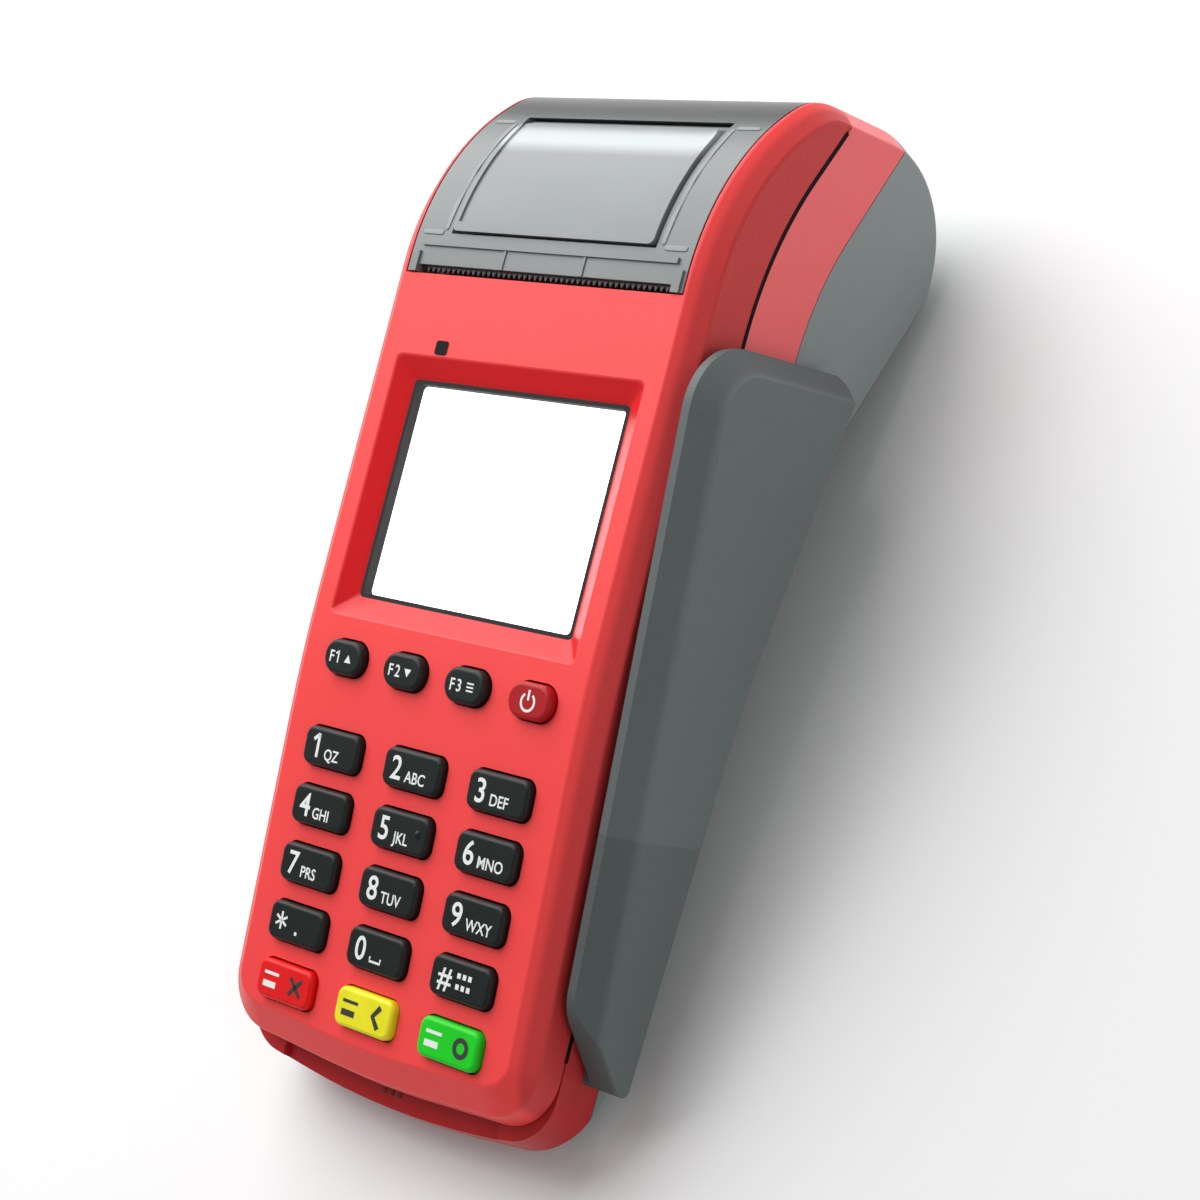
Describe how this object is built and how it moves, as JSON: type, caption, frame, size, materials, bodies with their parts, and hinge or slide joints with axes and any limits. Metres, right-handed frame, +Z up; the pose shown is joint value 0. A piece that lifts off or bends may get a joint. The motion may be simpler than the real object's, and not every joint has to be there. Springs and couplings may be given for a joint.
{
  "type": "card payment terminal",
  "caption": "Hand-held card payment terminal with colour display, keypad, chip slot, swipe guide on the right side and a receipt printer under a hinged smoked cover.",
  "frame": {"origin": "on the surface that the feet stand on, under the middle of the whole part's box", "axes": "+X to the user's right (the swipe guide side), +Y along the terminal from keypad to printer, +Z up"},
  "size_m": [0.085, 0.192, 0.061],
  "materials": {
    "housing_red": "fine satin grain",
    "band_red": "smooth satin",
    "housing_grey": "fine texture",
    "guide_grey": "fine texture",
    "foam_black": "matt",
    "lens_clear": "clear",
    "panel_white": "lit white",
    "copper_film": "etched",
    "light_pipe": "dark window",
    "silicone_grey": "matt",
    "dome_steel": "bright",
    "board_green": "solder mask",
    "chip_black": "moulded",
    "reader_black": "moulded",
    "speaker_black": "moulded",
    "jack_black": "moulded",
    "battery_wrap": "film wrap",
    "contact_gold": "plated",
    "head_steel": "ground",
    "frame_steel": "zinc plated",
    "head_ceramic": "glazed strip",
    "gear_brass": "machined",
    "gear_nylon": "moulded",
    "platen_rubber": "ground",
    "bin_black": "satin",
    "receipt_paper": "coated",
    "core_card": "plain",
    "cover_smoked": "smoked, polished",
    "flap_smoked": "smoked, polished",
    "tear_black": "moulded",
    "screw_steel": "zinc plated",
    "foot_rubber": "matt",
    "key_dark": "satin silicone",
    "key_red": "satin silicone",
    "key_yellow": "satin silicone",
    "key_green": "satin silicone",
    "key_dark_red": "satin silicone"
  },
  "bodies": {
    "case": {"front_housing": "housing_red", "side_band": "band_red", "rear_housing": "housing_grey", "swipe_guide": "guide_grey", "display_gasket": "foam_black", "display_lens": "lens_clear", "display_module": "panel_white", "antenna_loop": "copper_film", "status_light": "light_pipe", "keypad_mat": "silicone_grey", "key_domes": "dome_steel", "keypad_board": "board_green", "main_board": "board_green", "board_chips": "chip_black", "card_reader": "reader_black", "speaker": "speaker_black", "dc_jack": "jack_black", "battery_pack": "battery_wrap", "battery_contacts": "contact_gold", "printer_frame": "frame_steel", "stepper_motor": "frame_steel", "paper_bin": "bin_black", "hinge_pin": "frame_steel", "case_screws": "screw_steel", "rubber_feet": "foot_rubber"},
    "cover": {"paper_cover": "cover_smoked", "tear_bar": "tear_black", "platen_bushes": "gear_nylon"},
    "cover_flap": {"lift_flap": "flap_smoked"},
    "platen": {"platen_roller": "platen_rubber", "platen_shaft": "frame_steel", "platen_gear": "gear_nylon"},
    "idler": {"idler_gear": "gear_nylon"},
    "pinion": {"motor_pinion": "gear_brass"},
    "paper": {"paper_roll": "receipt_paper", "paper_core": "core_card"},
    "head": {"print_head": "head_ceramic", "head_springs": "dome_steel"},
    "reading_head": {"swipe_head": "head_steel", "swipe_spring": "dome_steel"},
    "door": {"battery_door": "housing_grey"},
    "button_1": {"key_1": "key_dark"},
    "button_2": {"key_2": "key_dark"},
    "button_3": {"key_3": "key_dark"},
    "button_4": {"key_4": "key_dark"},
    "button_5": {"key_5": "key_dark"},
    "button_6": {"key_6": "key_dark"},
    "button_7": {"key_7": "key_dark"},
    "button_8": {"key_8": "key_dark"},
    "button_9": {"key_9": "key_dark"},
    "button_star": {"key_star": "key_dark"},
    "button_0": {"key_0": "key_dark"},
    "button_hash": {"key_hash": "key_dark"},
    "button_cancel": {"key_cancel": "key_red"},
    "button_clear": {"key_clear": "key_yellow"},
    "button_enter": {"key_enter": "key_green"},
    "button_f1": {"key_f1": "key_dark"},
    "button_f2": {"key_f2": "key_dark"},
    "button_f3": {"key_f3": "key_dark"},
    "button_power": {"key_power": "key_dark_red"}
  },
  "joints": [
    {"name": "press_1", "type": "slide", "parent": "case", "child": "button_1", "axis": [0, 0.2974, -0.9548], "range_m": [0, 0.001], "stiffness_N_per_m": 500, "springref_m": -0.0004},
    {"name": "press_2", "type": "slide", "parent": "case", "child": "button_2", "axis": [0, 0.2974, -0.9548], "range_m": [0, 0.001], "stiffness_N_per_m": 500, "springref_m": -0.0004},
    {"name": "press_3", "type": "slide", "parent": "case", "child": "button_3", "axis": [0, 0.2974, -0.9548], "range_m": [0, 0.001], "stiffness_N_per_m": 500, "springref_m": -0.0004},
    {"name": "press_4", "type": "slide", "parent": "case", "child": "button_4", "axis": [0, 0.2974, -0.9548], "range_m": [0, 0.001], "stiffness_N_per_m": 500, "springref_m": -0.0004},
    {"name": "press_5", "type": "slide", "parent": "case", "child": "button_5", "axis": [0, 0.2974, -0.9548], "range_m": [0, 0.001], "stiffness_N_per_m": 500, "springref_m": -0.0004},
    {"name": "press_6", "type": "slide", "parent": "case", "child": "button_6", "axis": [0, 0.2974, -0.9548], "range_m": [0, 0.001], "stiffness_N_per_m": 500, "springref_m": -0.0004},
    {"name": "press_7", "type": "slide", "parent": "case", "child": "button_7", "axis": [0, 0.2974, -0.9548], "range_m": [0, 0.001], "stiffness_N_per_m": 500, "springref_m": -0.0004},
    {"name": "press_8", "type": "slide", "parent": "case", "child": "button_8", "axis": [0, 0.2974, -0.9548], "range_m": [0, 0.001], "stiffness_N_per_m": 500, "springref_m": -0.0004},
    {"name": "press_9", "type": "slide", "parent": "case", "child": "button_9", "axis": [0, 0.2974, -0.9548], "range_m": [0, 0.001], "stiffness_N_per_m": 500, "springref_m": -0.0004},
    {"name": "press_star", "type": "slide", "parent": "case", "child": "button_star", "axis": [0, 0.2974, -0.9548], "range_m": [0, 0.001], "stiffness_N_per_m": 500, "springref_m": -0.0004},
    {"name": "press_0", "type": "slide", "parent": "case", "child": "button_0", "axis": [0, 0.2974, -0.9548], "range_m": [0, 0.001], "stiffness_N_per_m": 500, "springref_m": -0.0004},
    {"name": "press_hash", "type": "slide", "parent": "case", "child": "button_hash", "axis": [0, 0.2974, -0.9548], "range_m": [0, 0.001], "stiffness_N_per_m": 500, "springref_m": -0.0004},
    {"name": "press_cancel", "type": "slide", "parent": "case", "child": "button_cancel", "axis": [0, 0.2974, -0.9548], "range_m": [0, 0.001], "stiffness_N_per_m": 500, "springref_m": -0.0004},
    {"name": "press_clear", "type": "slide", "parent": "case", "child": "button_clear", "axis": [0, 0.2974, -0.9548], "range_m": [0, 0.001], "stiffness_N_per_m": 500, "springref_m": -0.0004},
    {"name": "press_enter", "type": "slide", "parent": "case", "child": "button_enter", "axis": [0, 0.2974, -0.9548], "range_m": [0, 0.001], "stiffness_N_per_m": 500, "springref_m": -0.0004},
    {"name": "press_f1", "type": "slide", "parent": "case", "child": "button_f1", "axis": [0, 0.2974, -0.9548], "range_m": [0, 0.001], "stiffness_N_per_m": 500, "springref_m": -0.0004},
    {"name": "press_f2", "type": "slide", "parent": "case", "child": "button_f2", "axis": [0, 0.2974, -0.9548], "range_m": [0, 0.001], "stiffness_N_per_m": 500, "springref_m": -0.0004},
    {"name": "press_f3", "type": "slide", "parent": "case", "child": "button_f3", "axis": [0, 0.2974, -0.9548], "range_m": [0, 0.001], "stiffness_N_per_m": 500, "springref_m": -0.0004},
    {"name": "press_power", "type": "slide", "parent": "case", "child": "button_power", "axis": [0, 0.2974, -0.9548], "range_m": [0, 0.001], "stiffness_N_per_m": 500, "springref_m": -0.0004},
    {"name": "cover_hinge", "type": "hinge", "parent": "case", "child": "cover", "pos_m": [-0.004, 0.08525, 0.04288], "axis": [-1, 0, 0], "range_deg": [0, 80]},
    {"name": "flap_lift", "type": "hinge", "parent": "cover", "child": "cover_flap", "pos_m": [-0.004, 0.07865, 0.05297], "axis": [-1, 0, 0], "range_deg": [0, 25], "stiffness_Nm_per_rad": 0.05},
    {"name": "platen_spin", "type": "hinge", "parent": "cover", "child": "platen", "pos_m": [-0.004, 0.04983, 0.05133], "axis": [1, 0, 0], "continuous": true},
    {"name": "idler_spin", "type": "hinge", "parent": "case", "child": "idler", "pos_m": [-0.004, 0.04449, 0.04114], "axis": [1, 0, 0], "continuous": true},
    {"name": "pinion_spin", "type": "hinge", "parent": "case", "child": "pinion", "pos_m": [-0.004, 0.03705, 0.03607], "axis": [1, 0, 0], "continuous": true},
    {"name": "roll_spin", "type": "hinge", "parent": "case", "child": "paper", "pos_m": [-0.004, 0.06905, 0.02495], "axis": [1, 0, 0], "continuous": true},
    {"name": "head_pivot", "type": "hinge", "parent": "case", "child": "head", "pos_m": [-0.004, 0.045, 0.04029], "axis": [1, 0, 0], "range_deg": [0, 1.8], "stiffness_Nm_per_rad": 1, "springref_deg": -2.86},
    {"name": "reading_head_float", "type": "slide", "parent": "case", "child": "reading_head", "axis": [-1, 0, 0], "range_m": [0, 0.0005], "stiffness_N_per_m": 600, "springref_m": -0.0005},
    {"name": "door_release", "type": "slide", "parent": "case", "child": "door", "axis": [0, 0.1319, -0.9913], "range_m": [0, 0.012]}
  ],
  "couplings": [
    {"joint": "idler_spin", "follows": "platen_spin", "ratio": -0.76923},
    {"joint": "pinion_spin", "follows": "platen_spin", "ratio": 2}
  ]
}
